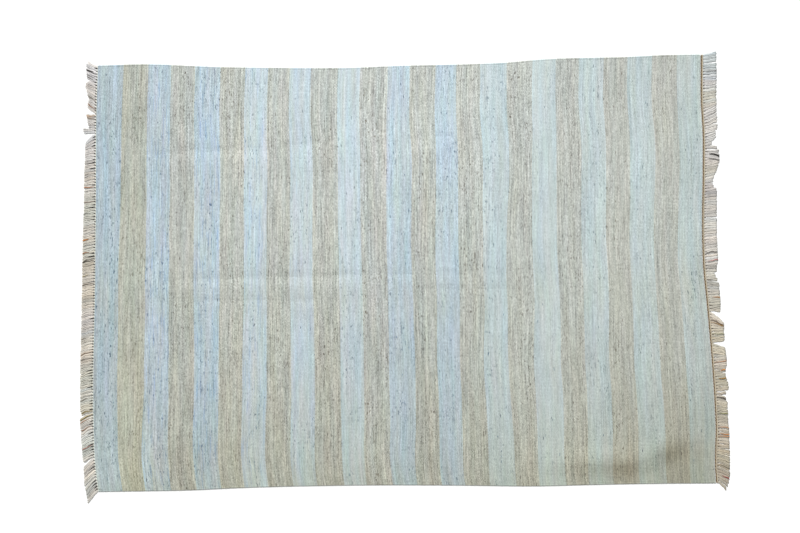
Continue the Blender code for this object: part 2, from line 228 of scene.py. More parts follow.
# Soft patches on the cloth: darker or lighter by `shade`, and browner by `stain`. Some of the
# shade is painted shade and light: darker along the ripple's near side and over the lower right,
# and lighter over the middle of the far half and at the near left corner. The rest follows the
# tone of single stripes.
Patch = namedtuple("Patch", "x y reach_x reach_y shade stain", defaults=(0.0,))
PATCHES = rows(
    Patch,
    (1.07, -0.655, 0.11, 0.045, -0.05, 0.3), (0.75, -0.725, 0.16, 0.035, -0.03, 0.2),
    (0.96, -0.73, 0.36, 0.11, -0.1, 0.3), (0.83, -0.728, 0.05, 0.034, -0.1, 0.3),
    (1.0, -0.668, 0.05, 0.04, -0.09, 0.3), (1.0, -0.5, 0.16, 0.12, -0.04, 0.1),
    (-0.85, -0.68, 0.1, 0.06, -0.04, 0.15), (-0.68, -0.65, 0.09, 0.06, -0.04, 0.15),
    (-0.09, -0.73, 0.16, 0.06, -0.01, 0.05), (-0.05, 0.6, 0.6, 0.4, 0.06),
    (-1.15, -0.75, 0.22, 0.4, 0.13), (1.12, -0.45, 0.12, 0.5, -0.07, 0.1),
    (0.8, -0.78, 0.42, 0.15, 0.02, 0.06), (-0.86, 0.5, 0.1, 0.45, -0.05),
    (1.08, 0.55, 0.1, 0.35, -0.05), (-0.645, 0.35, 0.05, 0.4, 0.03), (0.277, 0.4, 0.05, 0.45, 0.07),
    (0.461, 0.76, 0.05, 0.16, 0.09), (0.0, -0.25, 0.05, 0.35, -0.05),
    (0.369, 0.45, 0.05, 0.3, -0.06), (0.78, 0.18, 0.09, 0.22, 0.035),
    (1.014, 0.68, 0.05, 0.22, -0.04), (0.645, -0.28, 0.05, 0.15, -0.04),
    (0.738, 0.12, 0.05, 0.22, 0.05), (-1.1, 0.02, 0.11, 0.26, 0.05),
    (-1.08, -0.72, 0.1, 0.09, 0.07), (-0.277, 0.3, 0.05, 0.16, 0.08),
    (-0.32, -0.39, 0.09, 0.11, -0.05), (0.277, -0.37, 0.05, 0.1, -0.06),
)
NEAR_SHADE = -0.22  # how much darker the cloth is along its near edge, partly painted shade of the light falling off there
NEAR_SOIL = 0.74  # and how much yellower, which starts further in on the beige stripes
SOIL = (1.0, 0.945, 0.79)  # what full soil and a full stain leave of the red, green and blue
STAIN = (1.0, 0.915, 0.79)
# What the bluer yarns of the blue stripes keep of the red, green and blue, how far from the left
# end they begin, and where they fade out, from the second to the first.
VEIN = (0.77, 0.85, 1.0)
VEINS_FROM = (0.08, 0.1)
VEINS_UNTIL = (1.0, 0.4)
CALM_FROM = (1.25, 1.6)  # where the tints grow calmer, towards the right end
FADE_MIDDLE = 0.725  # the blue has faded in a band across the stripes, as a stain would
FADE_REACH = 0.15
FADE_STAIN = 0.28
RIM_SHADE = 0.06  # painted light along the selvedges, against the shade on their rounded sides
RIM_REACH = 0.004
MOTTLE = 0.02  # faint unevenness all over

# Coloured threads that run along some of the tassels, by the root's distance from the far corner.
# `start` is the share of the tassel before the thread shows.
Thread = namedtuple("Thread", "root size colour start", defaults=(0.0,))
LEFT_THREADS = rows(
    Thread,
    (0.03, 1.7, (50, 45, 38), 0.35), (0.046, 0.9, (96, 92, 80), 0.2),
    (0.06, 0.9, (104, 98, 86), 0.25), (0.134, 1.0, (92, 90, 74), 0.1), (0.168, 1.2, (156, 104, 62)),
    (0.186, 0.8, (222, 172, 116), 0.05), (0.2, 0.9, (150, 116, 80), 0.25),
    (0.459, 1.2, (186, 128, 92), 0.1), (0.512, 1.0, (156, 132, 120)),
    (0.555, 0.8, (124, 118, 112), 0.5), (0.652, 1.6, (200, 128, 58), 0.5),
    (0.704, 1.5, (150, 98, 60), 0.45), (0.735, 1.5, (62, 54, 44), 0.1),
    (0.79, 1.2, (158, 142, 96), 0.45), (0.819, 1.0, (128, 114, 98)),
    (1.03, 0.9, (136, 124, 110), 0.5), (1.082, 1.0, (134, 112, 90)),
    (1.098, 1.1, (82, 74, 62), 0.1), (1.252, 1.0, (116, 108, 94), 0.4),
    (1.302, 1.1, (146, 128, 68)), (1.313, 1.3, (150, 128, 62)), (1.326, 1.1, (160, 112, 82), 0.3),
    (1.352, 1.0, (156, 118, 86), 0.1), (1.434, 1.0, (178, 118, 104)),
)
RIGHT_THREADS = rows(
    Thread,
    (0.061, 0.7, (128, 124, 126), 0.3), (0.376, 2.2, (40, 38, 34), 0.3),
    (0.399, 1.3, (112, 110, 106), 0.15), (0.746, 1.2, (84, 80, 76)),
    (0.777, 0.9, (208, 128, 126), 0.2), (0.917, 1.1, (204, 150, 98), 0.35),
    (1.003, 1.4, (112, 90, 68), 0.1), (1.014, 1.1, (176, 140, 88)), (1.049, 1.0, (136, 138, 102)),
    (1.16, 1.0, (204, 150, 108)), (1.193, 1.9, (204, 138, 72), 0.55),
    # The dark thread at 1.296 is painted shadow, in the notch beside it.
    (1.226, 1.8, (168, 132, 74), 0.3), (1.296, 1.3, (78, 68, 56)), (1.355, 1.1, (146, 144, 88)),
    (1.408, 0.9, (212, 146, 86)), (1.43, 1.2, (210, 142, 80), 0.2), (1.446, 0.9, (210, 148, 96)),
    (1.545, 1.0, (104, 106, 94), 0.2), (1.581, 1.3, (160, 62, 56), 0.4),
)
CORD = ((141, 122, 92), (104, 87, 61))


def linear(colour):
    """An sRGB colour, 0 to 255, as linear RGBA."""
    share = np.array(colour) / 255
    value = np.where(share <= 0.04045, share / 12.92, ((share + 0.055) / 1.055) ** 2.4)
    return (*map(float, value), 1.0)


# ---- Shape of the rug ----
def edge_out(edge, along):
    """How far out a bowed edge stands at `along`, on a smooth curve through its rows."""
    knots, outs = np.array(edge).T
    slopes = np.gradient(outs, knots)
    i = np.clip(np.searchsorted(knots, along) - 1, 0, len(knots) - 2)
    step = knots[i + 1] - knots[i]
    u = (along - knots[i]) / step
    rising = u * u * (3 - 2 * u)
    return (
        outs[i] * (1 - rising)
        + outs[i + 1] * rising
        + step * u * (1 - u) * (slopes[i] * (1 - u) - slopes[i + 1] * u)
    )


def edge_ends(edge):
    """Where an edge starts and ends."""
    return edge[0].along, edge[-1].along


def cloth_plan(s, t):
    """Points of the cloth's plan at shares `s` of its length and `t` of its width."""
    near_x, far_x = (np.interp(s, (0, 1), edge_ends(edge)) for edge in (NEAR_EDGE, FAR_EDGE))
    left_y, right_y = (np.interp(t, (0, 1), edge_ends(edge)) for edge in (LEFT_EDGE, RIGHT_EDGE))
    x_corners = [out for end in (0, -1) for out in (-LEFT_EDGE[end].out, RIGHT_EDGE[end].out)]
    y_corners = [edge[end].along for end in (0, -1) for edge in (LEFT_EDGE, RIGHT_EDGE)]

    def blend(near, far, left, right, corners):
        bilinear = (1 - t) * ((1 - s) * corners[0] + s * corners[1])
        bilinear = bilinear + t * ((1 - s) * corners[2] + s * corners[3])
        return (1 - t) * near + t * far + (1 - s) * left + s * right - bilinear

    left_x, right_x = -edge_out(LEFT_EDGE, left_y), edge_out(RIGHT_EDGE, right_y)
    near_y, far_y = -edge_out(NEAR_EDGE, near_x), edge_out(FAR_EDGE, far_x)
    x = blend(near_x, far_x, left_x, right_x, x_corners)
    return x, blend(near_y, far_y, left_y, right_y, y_corners)


def fold_height(fold, x, y):
    """The height of one fold over points of the plan."""
    nearest = np.full(x.shape, np.inf)
    near_side = np.zeros(x.shape, bool)
    travelled = np.zeros(x.shape)
    before = 0.0
    line = np.array(fold.line)
    for start, run in zip(line, np.diff(line, axis=0)):
        length = np.hypot(*run)
        share = np.clip(((x - start[0]) * run[0] + (y - start[1]) * run[1]) / length**2, 0, 1)
        away = np.hypot(x - start[0] - share * run[0], y - start[1] - share * run[1])
        closer = away < nearest
        nearest = np.where(closer, away, nearest)
        beside = (y - start[1]) * run[0] - (x - start[0]) * run[1]
        near_side = np.where(closer, beside < 0, near_side)
        travelled = np.where(closer, before + share * length, travelled)
        before += length
    to_end = np.minimum(travelled, before - travelled)
    away = np.minimum(1, nearest / fold.half_width)
    across = 0.5 + 0.5 * np.cos(pi * away)
    steep = ((1 - np.hypot(away, CREST * (1 - away))) / (1 - CREST)) ** 2
    across += np.where(near_side, fold.near_sharp, fold.far_sharp) * (steep - across)
    lengthwise = 0.5 - 0.5 * np.cos(pi * np.minimum(1, to_end / fold.fade))
    return fold.height * across * lengthwise


def lift(x, y):
    """How high the underside stands off the floor."""
    return np.max([fold_height(fold, x, y) for fold in FOLDS], axis=0)


def waves(x, y, lengths, count, seed):
    """A seeded unevenness between about -1 and 1, from `count` crossing waves."""
    random = np.random.default_rng(seed)
    total = np.zeros(np.broadcast(x, y).shape)
    for _ in range(count):
        angle, phase = random.uniform(0, pi), random.uniform(0, 2 * pi)
        number = 2 * pi / random.uniform(*lengths)
        total += np.sin(number * (x * np.cos(angle) + y * np.sin(angle)) + phase)
    return total / np.sqrt(count / 2) / 1.5


def surface_relief(x, y):
    """Creases and unevenness of the upper surface."""
    creased = sum(fold_height(crease, x, y) for crease in CREASES)
    return creased + PUCKER * waves(x, y, (0.07, 0.3), 14, seed=3)


def stripe_drift(s, t):
    """How far, in metres, the weft at a point of the plan has drifted."""
    stripes = np.arange(len(DRIFTS)) / STRIPES
    along = [np.interp(s, stripes, column) for column in zip(*DRIFTS)]
    along = [along[0], *along, along[-1]]
    total = along[0]
    for k in range(1, len(DRIFT_LINES)):
        above, below = DRIFT_LINES[k - 1], DRIFT_LINES[k]
        share = np.clip((above - t) / (above - below), 0, 1)
        total = total + (along[k] - along[k - 1]) * share * share * (3 - 2 * share)
    return total / 1000


# ---- Building pieces ----
FLOOR_GAP = 0.00003  # yarns are flattened where they rest on the floor
SIDES = 6
PLY_PITCH = 0.003
YARN_APART = 0.013  # keeps the noise of one yarn apart from the next one's


class Piece:
    """Collects a piece's yarns: their points and faces, and each point's dye and place in its
    yarn."""

    def __init__(self):
        self.yarns, self.count = [], 0

    def tube(self, x, y, z, radii, dye, turn, flat, lobe=0.0, painted_light=1.0):
        """A yarn along a path. Its section has two lobes that turn by `turn` at each step, and the
        last argument lightens its dye step by step, as painted light."""
        path = np.stack((x, y, z), axis=1)
        steps, sides = len(path), SIDES
        along = np.gradient(path, axis=0)
        along /= np.linalg.norm(along, axis=1, keepdims=True)
        side = np.cross(along, (0.0, 0.0, 1.0))
        side /= np.linalg.norm(side, axis=1, keepdims=True)
        up = np.cross(side, along)
        angles = 2 * pi * np.arange(sides) / sides
        bulge = 1 + lobe * np.cos(2 * angles)
        turned = angles[None, :] + turn * np.arange(steps)[:, None]
        radius = np.asarray(radii)[:, None] * bulge[None, :]
        points = (
            path[:, None, :]
            + (radius * np.cos(turned))[:, :, None] * side[:, None, :]
            + (flat * radius * np.sin(turned))[:, :, None] * up[:, None, :]
        ).reshape(-1, 3)
        points = np.vstack((points, path[0], path[-1]))
        points[:, 2] = np.maximum(points[:, 2], FLOOR_GAP)
        k = np.arange(sides)
        after = (k + 1) % sides
        rings = np.arange(steps - 1) * sides
        a, b = rings + k[:, None], rings + after[:, None]
        first, last, end = steps * sides, steps * sides + 1, (steps - 1) * sides
        faces = (
            np.stack((a, b, b + sides, a + sides), axis=-1).reshape(-1, 4),
            [(j, i, first, first) for i, j in zip(k, after)],
            [(end + i, end + j, last, last) for i, j in zip(k, after)],
        )
        gone = np.linalg.norm(np.diff(path, axis=0), axis=1)
        lengths = np.concatenate(([0.0], np.cumsum(gone)))
        lay = np.zeros((len(points), 3))
        lay[: steps * sides, 0] = np.repeat(lengths, sides)
        lay[: steps * sides, 1] = (turned / (2 * pi)).reshape(-1)
        lay[last, 0] = lengths[-1]
        lay[:, 2] = YARN_APART * self.count
        dyes = np.tile(linear(dye), (len(points), 1))
        dyes[: steps * sides, :3] *= np.repeat(np.broadcast_to(painted_light, steps), sides)[:, None]
        self.yarns.append((points, np.vstack(faces) + self.count, dyes, lay))
        self.count += len(points)

    def make(self, name, material):
        """The piece's object, moved to the frame's origin."""
        points, faces, dyes, lays = map(np.vstack, zip(*self.yarns))
        points[:, :2] -= ORIGIN
        # A triangle comes as four corners with the last one twice.
        faces = [tuple(dict.fromkeys(face)) for face in faces.tolist()]
        return link(name, new_mesh(name, points, faces, dye=dyes, lay=lays), material)


def new_mesh(name, points, faces, **values):
    """A mesh with values for each point: colours where they are RGBA, and vectors otherwise."""
    mesh = bpy.data.meshes.new(name)
    mesh.from_pydata(points.tolist(), [], faces)
    for key, value in values.items():
        kind = "color" if value.shape[1] == 4 else "vector"
        made = mesh.attributes.new(key, "FLOAT_" + kind.upper(), "POINT")
        made.data.foreach_set(kind, value.astype(np.float32).ravel())
    mesh.shade_smooth()
    return mesh


def link(name, mesh, material):
    """An object in the scene with this mesh and material."""
    mesh.materials.append(material)
    mesh.update()
    made = bpy.data.objects.new(name, mesh)
    bpy.context.scene.collection.objects.link(made)
    return made


# ---- Materials ----
class Graph:
    """Builds a material's nodes, one short call for each."""

    def __init__(self, name, roughness, sheen):
        self.material = bpy.data.materials.new(name)
        self.material.use_nodes = True
        self.tree = self.material.node_tree
        self.shader = self.tree.nodes["Principled BSDF"]
        self.shader.inputs["Roughness"].default_value = roughness
        self.shader.inputs["Specular IOR Level"].default_value = 0.2
        self.shader.inputs["Sheen Weight"].default_value = sheen
        self.shader.inputs["Sheen Roughness"].default_value = 0.6

    def put(self, value, socket):
        if isinstance(value, bpy.types.NodeSocket):
            self.tree.links.new(value, socket)
        else:
            socket.default_value = value

    def node(self, kind, inputs=None, **settings):
        made = self.tree.nodes.new(kind)
        for key, value in settings.items():
            setattr(made, key, value)
        for key, value in (inputs or {}).items():
            self.put(value, made.inputs[key])
        return made

    def math(self, operation, *values, clamp=False):
        made = self.node("ShaderNodeMath", operation=operation, use_clamp=clamp)
        for value, socket in zip(values, made.inputs):
            self.put(value, socket)
        return made.outputs[0]

    times = partialmethod(math, "MULTIPLY")
    plus = partialmethod(math, "ADD")
    minus = partialmethod(math, "SUBTRACT")
    over = partialmethod(math, "DIVIDE")
    line = partialmethod(math, "MULTIPLY_ADD")  # of a value, a slope and a start

    def mix(self, factor, first, second, blend="MIX"):
        made = self.node("ShaderNodeMix", data_type="RGBA", blend_type=blend)
        for value, socket in zip((factor, first, second), (made.inputs[0], *made.inputs[6:8])):
            self.put(value, socket)
        return made.outputs[2]

    def keep(self, colour, shares, factor):
        """A colour that keeps only these shares of its red, green and blue where `factor` is 1."""
        return self.mix(factor, colour, self.mix(1.0, colour, (*shares, 1.0), "MULTIPLY"))

    def scaled(self, colour, factor):
        """A colour times a number."""
        inputs = {"Vector": colour, "Scale": factor}
        return self.node("ShaderNodeVectorMath", inputs, operation="SCALE").outputs[0]

    def attribute(self, name, output):
        return self.node("ShaderNodeAttribute", attribute_name=name).outputs[output]

    def split(self, vector):
        """A vector's three parts."""
        return self.node("ShaderNodeSeparateXYZ", {"Vector": vector}).outputs[:3]

    def vector(self, x, y, z=0.0):
        return self.node("ShaderNodeCombineXYZ", {"X": x, "Y": y, "Z": z}).outputs[0]

    def noise(self, x, y, z=0.0, detail=0.0):
        """Soft noise between 0 and 1 that changes over about one unit."""
        inputs = {"Vector": self.vector(x, y, z), "Scale": 1.0, "Detail": detail}
        return self.node("ShaderNodeTexNoise", inputs).outputs[0]

    def random(self, x, y):
        """An even random value for each place."""
        return self.node("ShaderNodeTexWhiteNoise", {"Vector": self.vector(x, y)}).outputs[0]

    def step(self, value, low, high):
        """0 below `low`, 1 above `high` and smooth between."""
        inputs = {"Value": value, "From Min": low, "From Max": high}
        return self.node("ShaderNodeMapRange", inputs, interpolation_type="SMOOTHSTEP").outputs[0]

    def chart(self, factor, colours):
        """One constant colour for each stripe."""
        made = self.node("ShaderNodeValToRGB", {"Fac": factor})
        ramp = made.color_ramp
        ramp.interpolation = "CONSTANT"
        ramp.elements.remove(ramp.elements[1])
        for k, colour in enumerate(colours):
            stop = ramp.elements[0] if k == 0 else ramp.elements.new(k / len(colours))
            stop.color = colour
        return made.outputs

    def bump(self, height):
        """Relief, with the height in metres."""
        made = self.node("ShaderNodeBump", {"Height": height, "Distance": 1.0})
        self.tree.links.new(made.outputs[0], self.shader.inputs["Normal"])

    def finish(self, colour):
        self.put(colour, self.shader.inputs["Base Color"])
        return self.material


def cloth_material():
    """Weft-faced weave: over every other rib each yarn shows as a bead. Hand-spun and hand-dyed
    yarns give the streaks along the stripes, the flecks and the drift of the tints."""
    g = Graph("flatweave", roughness=0.92, sheen=0.06)
    along, across, rib = g.split(g.attribute("weave", "Vector"))
    wander = g.noise(g.times(along, 6.0), g.times(across, 7.0))
    along = g.line(g.minus(wander, 0.5), 0.005, along)

    rib_number = g.math("FLOOR", rib)
    odd = g.math("FLOORED_MODULO", rib_number, 2.0)
    bead = g.line(odd, 0.5, g.over(along, 2 * PICK))
    yarn = g.math("FLOOR", bead)
    yarn_along = g.times(g.plus(yarn, 0.25), 2 * PICK)
    stripe_number = g.math("FLOOR", g.over(yarn_along, STRIPE_WIDTH))
    stripe = g.over(g.plus(stripe_number, 0.5), STRIPES, clamp=True)
    bodies = [(*linear(weft.colour)[:3], weft.contrast / 2) for weft in CHART]
    body, contrast = g.chart(stripe, bodies)
    fleck, flecks = g.chart(stripe, [(*linear(weft.fleck)[:3], weft.flecks) for weft in CHART])

    def own(length, seed, amount=1.0):
        """Each yarn's own noise, which changes over `length` along it."""
        value = g.noise(g.times(yarn, 17.37), g.over(across, length), seed)
        return g.times(g.minus(value, 0.5), amount)

    def shared(width, length, seed, amount=1.0):
        """Noise that neighbouring yarns share."""
        value = g.noise(g.over(yarn_along, width), g.over(across, length), seed)
        return g.times(g.minus(value, 0.5), amount)

    def total(*values):
        result = values[0]
        for value in values[1:]:
            result = g.plus(result, value)
        return result

    grain = total(
        own(0.005, 0.3, 0.49),
        own(0.03, 2.3, 0.4),
        own(0.18, 5.3, 0.62),
        shared(0.009, 0.11, 20.3, 0.1),
        shared(0.014, 0.9, 22.3, 0.12),
        g.times(g.minus(g.random(yarn, rib_number), 0.5), 0.22),
    )
    tone = g.line(g.times(grain, contrast), 2.0, 1.0)
    blue = total(shared(0.023, 0.3, 30.3, 0.17), shared(0.009, 0.2, 32.3, 0.04))
    green = total(shared(0.02, 0.2, 34.3, 0.06), shared(0.007, 0.09, 36.3, 0.03))
    beige = g.math("FLOORED_MODULO", stripe_number, 2.0)
    strength = g.line(beige, -0.4, 1.0)
    calmer = g.line(g.step(yarn_along, *CALM_FROM), -0.35, 1.0)
    strength = g.times(strength, calmer)
    blue, green = g.times(blue, strength), g.times(green, strength)
    tint = g.vector(
        g.minus(g.minus(1.0, blue), green), g.plus(1.0, green), g.minus(g.plus(1.0, blue), green)
    )
    colour = g.scaled(g.mix(1.0, body, tint, "MULTIPLY"), tone)
    vein = g.times(g.step(shared(0.004, 0.11, 39.3), 0.13, 0.23), g.minus(1.0, beige))
    for reach in (VEINS_FROM, VEINS_UNTIL):
        vein = g.times(vein, g.step(yarn_along, *reach))
    colour = g.keep(colour, VEIN, vein)

    slub = g.step(shared(0.0032, 0.016, 40.3), 0.2, 0.3)
    streak = g.step(own(0.045, 42.3), 0.2, 0.3)
    crowd = g.plus(shared(0.06, 0.2, 44.3, 2.4), 0.55, clamp=True)
    slub = g.times(g.math("MAXIMUM", slub, g.times(streak, 0.6)), crowd)
    colour = g.mix(g.times(slub, flecks), colour, fleck)

    # Painted shade and light from the mesh in the first part, its stains in the second.
    shade, stain, _ = g.split(g.attribute("wear", "Vector"))
    faded = g.step(g.math("ABSOLUTE", g.minus(across, FADE_MIDDLE)), FADE_REACH, 0.0)
    stain = g.line(faded, g.line(beige, -FADE_STAIN, FADE_STAIN), stain)
    nearness = g.minus(1.0, g.over(across, CLOTH_WIDTH), clamp=True)
    soil = g.math("POWER", nearness, g.line(beige, -2.5, 5.0))
    for share, tinge in ((g.times(soil, NEAR_SOIL), SOIL), (stain, STAIN)):
        colour = g.keep(colour, tinge, g.plus(share, 0.0, clamp=True))
    # Painted shade and light, with the faint mottle, darken or lighten the colour.
    colour = g.scaled(colour, g.plus(shade, 1.0))

    over = g.math("SINE", g.times(g.math("FRACT", rib), pi))
    through = g.math("SINE", g.times(g.math("FRACT", bead), pi))
    rounded = g.math("POWER", g.times(over, through), 0.5)
    # Painted shade in the hollows between the beads and between the ribs.
    colour = g.scaled(colour, g.line(rounded, 0.12, 0.91))
    fuzz = g.noise(g.times(along, 2600.0), g.times(across, 900.0), detail=2.0)
    g.bump(g.plus(g.times(rounded, 0.0004), g.times(fuzz, 0.0001)))
    return g.finish(colour)


def yarn_material(name, painted_groove_shade):
    """Plied yarn dyed by the piece's own colours, with its plies winding round it."""
    g = Graph(name, roughness=0.9, sheen=0.15)
    length, angle, yarn = g.split(g.attribute("lay", "Vector"))
    ply = g.math("FRACT", g.plus(g.over(length, PLY_PITCH), angle))
    rounded = g.math("POWER", g.math("SINE", g.times(ply, pi)), 0.6)
    fibre = g.noise(g.times(length, 420.0), g.times(angle, 6.0), yarn, detail=3.0)
    spun = g.noise(g.times(length, 130.0), yarn)
    colour = g.scaled(g.attribute("dye", "Color"), g.line(fibre, 0.26, 0.86))
    colour = g.scaled(colour, g.line(spun, 0.24, 0.88))
    # Painted shade in the grooves between the plies.
    colour = g.scaled(colour, g.line(rounded, painted_groove_shade, 1.0 - painted_groove_shade))
    g.bump(g.plus(g.times(rounded, 0.0003), g.times(fibre, 0.00012)))
    return g.finish(colour)


# ---- The cloth ----
def cloth_rows():
    """The rows of the upper side from the near edge to the far one: share of the width, height
    above the underside, and 1 where the ribs run and 0 on the selvedges."""
    rim_share = [rim.inset / CLOTH_WIDTH for rim in SELVEDGE]
    start = rim_share[-1] + RIM_TO_RIBS / CLOTH_WIDTH
    inner = np.linspace(start, 1 - start, RIBS * RIB_ROWS + 1)
    shares = np.concatenate((rim_share, inner, 1 - np.array(rim_share[::-1])))
    rims = [rim.height for rim in SELVEDGE]
    heights = np.concatenate((rims, np.full(len(inner), CLOTH), rims[::-1]))
    ribbed = np.pad(np.ones(len(inner)), len(rims))
    rib_phase = np.pad(np.arange(len(inner)) / RIB_ROWS, len(rims), "edge")
    return shares, heights, ribbed, rib_phase


def cloth_top(s, t, heights, ribbed, rib_phase):
    """The upper side's points."""
    x, y = cloth_plan(s, t)
    y = y + ribbed * RIB_WANDER * waves(x, y, (0.1, 0.4), 8, seed=11)
    ribs = -RIB_RISE * ribbed * np.cos(2 * pi * rib_phase)
    relief = (RIM_RELIEF + (1 - RIM_RELIEF) * ribbed) * surface_relief(x, y)
    return np.stack((x, y, lift(x, y) + heights + ribs + relief), axis=-1)


def end_wall(upper, upper_shares, lower, lower_shares):
    """Triangles that join the ends of the upper rows to the ends of the lower ones."""
    faces, i, j = [], 0, 0
    while i < len(upper) - 1 or j < len(lower) - 1:
        up_next = upper_shares[i + 1] if i < len(upper) - 1 else np.inf
        low_next = lower_shares[j + 1] if j < len(lower) - 1 else np.inf
        if up_next <= low_next:
            faces.append((upper[i], lower[j], upper[i + 1]))
            i += 1
        else:
            faces.append((upper[i], lower[j], lower[j + 1]))
            j += 1
    return faces


def woven_cloth():
    """The closed sheet: the ribbed upper side, the plain underside and the walls between them."""
    shares, heights, ribbed, rib_phase = cloth_rows()
    columns = np.linspace(0, 1, STRIPES * STRIPE_COLUMNS + 1)
    s, t = np.meshgrid(columns, shares)
    top = cloth_top(s, t, heights[:, None], ribbed[:, None], rib_phase[:, None])
    under_start = RIM_UNDER / CLOTH_WIDTH
    under_shares = np.linspace(under_start, 1 - under_start, UNDER_ROWS + 1)
    s_under, t_under = np.meshgrid(columns, under_shares)
    x, y = cloth_plan(s_under, t_under)
    under = np.stack((x, y, lift(x, y)), axis=-1)

    wide = len(columns)
    offset = top.shape[0] * wide

    def grid(rows, start):
        corner = start + np.arange(rows - 1)[:, None] * wide + np.arange(wide - 1)[None, :]
        corner = corner.ravel()
        return np.stack((corner, corner + 1, corner + wide + 1, corner + wide), axis=1)

    near = np.arange(wide - 1)
    far = (top.shape[0] - 1) * wide + near
    near_under, far_under = offset + near, offset + UNDER_ROWS * wide + near
    faces = [
        *grid(top.shape[0], 0).tolist(),
        *grid(UNDER_ROWS + 1, offset)[:, ::-1].tolist(),
        *np.stack((near_under, near_under + 1, near + 1, near), axis=1).tolist(),
        *np.stack((far, far + 1, far_under + 1, far_under), axis=1).tolist(),
    ]
    rows_up = np.arange(top.shape[0]) * wide
    rows_down = offset + np.arange(UNDER_ROWS + 1) * wide
    left = end_wall(rows_up, shares, rows_down, under_shares)
    right = end_wall(rows_up + wide - 1, shares, rows_down + wide - 1, under_shares)
    faces += [(a, c, b) for a, b, c in left] + right

    points = np.vstack((top.reshape(-1, 3), under.reshape(-1, 3)))
    s_all = np.concatenate((s.ravel(), s_under.ravel()))
    t_all = np.concatenate((t.ravel(), t_under.ravel()))
    along = s_all * CLOTH_LENGTH - stripe_drift(s_all, t_all)
    rib = np.interp(t_all, shares, rib_phase)
    weave = np.stack((along, t_all * CLOTH_WIDTH, rib), axis=1)
    x, y, _ = points.T
    # Painted shade and light in the first part: the patches' shades, the darker near edge and the     lighter selvedges, with a faint mottle. The stains go in the second part.
    wear = np.zeros((len(points), 3))
    for patch in PATCHES:
        x_share, y_share = (x - patch.x) / patch.reach_x, (y - patch.y) / patch.reach_y
        strength = np.exp(-(x_share**2 + y_share**2))
        wear[:, :2] += np.outer(strength, (patch.shade, patch.stain))
    wear[:, 0] += NEAR_SHADE * (1 - t_all) ** 2
    wear[:, 0] += RIM_SHADE * np.exp(-np.minimum(t_all, 1 - t_all) * CLOTH_WIDTH / RIM_REACH)
    wear[:, 0] += MOTTLE * waves(x, y, (0.1, 0.6), 12, seed=21)

    points[:, :2] -= ORIGIN
    mesh = new_mesh("woven_cloth", points, faces, weave=weave, wear=wear)
    mesh.set_sharp_from_angle(angle=SHARP_ANGLE)
    return link("woven_cloth", mesh, cloth_material())


# ---- Fringes, headings and cord ----
def end_line(edge, side, distance, y):
    """Points at `y` on the line that runs `distance` outside an end of the cloth."""
    near, far = edge_ends(edge)
    return side * (edge_out(edge, np.clip(y, near, far)) + distance)


def twined_row(piece, edge, side, twine):
    """Two strands twined around each other along an end of the cloth."""
    near, far = edge_ends(edge)
    y = np.linspace(near + twine.radius, far - twine.radius, int((far - near) / twine.pitch * 7))
    for strand, dye in enumerate(twine.dyes):
        phase = 2 * pi * y / twine.pitch + pi * strand
        x = end_line(edge, side, twine.distance, y) + twine.spread * np.cos(phase)
        z = twine.height + 0.6 * twine.spread * np.sin(phase)
        radii = twine.radius * (1 + 0.06 * waves(y, 0 * y, (0.01, 0.05), 5, seed=31 + strand))
        piece.tube(x, y, z, radii, dye, turn=0.5, lobe=0.1, flat=twine.flat)


Twine = namedtuple("Twine", "distance pitch spread radius height flat dyes")
CORD_TWINE = Twine(SEAT_GAP + 0.6 * CORD_WIDTH, 0.013, 0.0012, 0.0019, 0.0034, 0.9, CORD)
LEFT_DYES = ((240, 242, 233), (206, 209, 197))
LEFT_TWINE = Twine(0.0004, 0.0108, 0.0009, 0.0015, 0.0037, 0.9, LEFT_DYES)
RIGHT_DYES = ((203, 192, 170), (197, 186, 163))
RIGHT_TWINE = Twine(0.009, 0.0108, 0.0007, 0.0014, 0.0037, 0.9, RIGHT_DYES)

# Painted shadow between the tassels: dark yarns laid in the gaps where the real fringe has only
# shade, from the `first` distance from the far corner. Each starts `start` along the tassel, `top`
# high, and is as long as the range `short` or `long` says. The shares of long ones are those at the
# far corner, the middle and the near corner. `dye` is the painted shadow's colour.
Tie = namedtuple("Tie", "first start top radius short long long_shares dye uneven")
Tint = namedtuple("Tint", "place colour")
# `tints` are the tassels' colours by their share of the way from the far corner to the near one.
# `roots` is how far outside the cloth's edge the tassels leave their heading. Just beyond,
# `fullness`
# # spreads their strands, and painted light lightens them against the shade that falls by the
# # heading. `bunching` is how far twos and threes lean together.
End = namedtuple(
    "End",
    "edge side locks threads tints flat heading_end roots root_tone fullness bunching twine tie "
    "seed",
)
LEFT_END = End(
    *(LEFT_EDGE, -1, LEFT_LOCKS, LEFT_THREADS),
    tints=rows(
        Tint,
        *((0.0, (214, 210, 206)), (0.1, (205, 201, 195)), (0.42, (199, 194, 183))),
        *((0.47, (192, 184, 167)), (0.52, (199, 194, 183)), (1.0, (195, 193, 184))),
    ),
    flat=0.45,
    heading_end=SEAT_GAP + HEADING_WIDTH,
    roots=0.0008,
    root_tone=1.27,
    fullness=1.0,
    bunching=0.0,
    twine=LEFT_TWINE,
    tie=Tie(
        *(0.0, -0.0006, 0.006, 0.0019),
        short=(0.0052, 0.0066),
        long=(0.015, 0.034),
        long_shares=(0.34, 0.1, 0.5),
        dye=(22, 20, 17),
        uneven=0.0,
    ),
    seed=5,
)
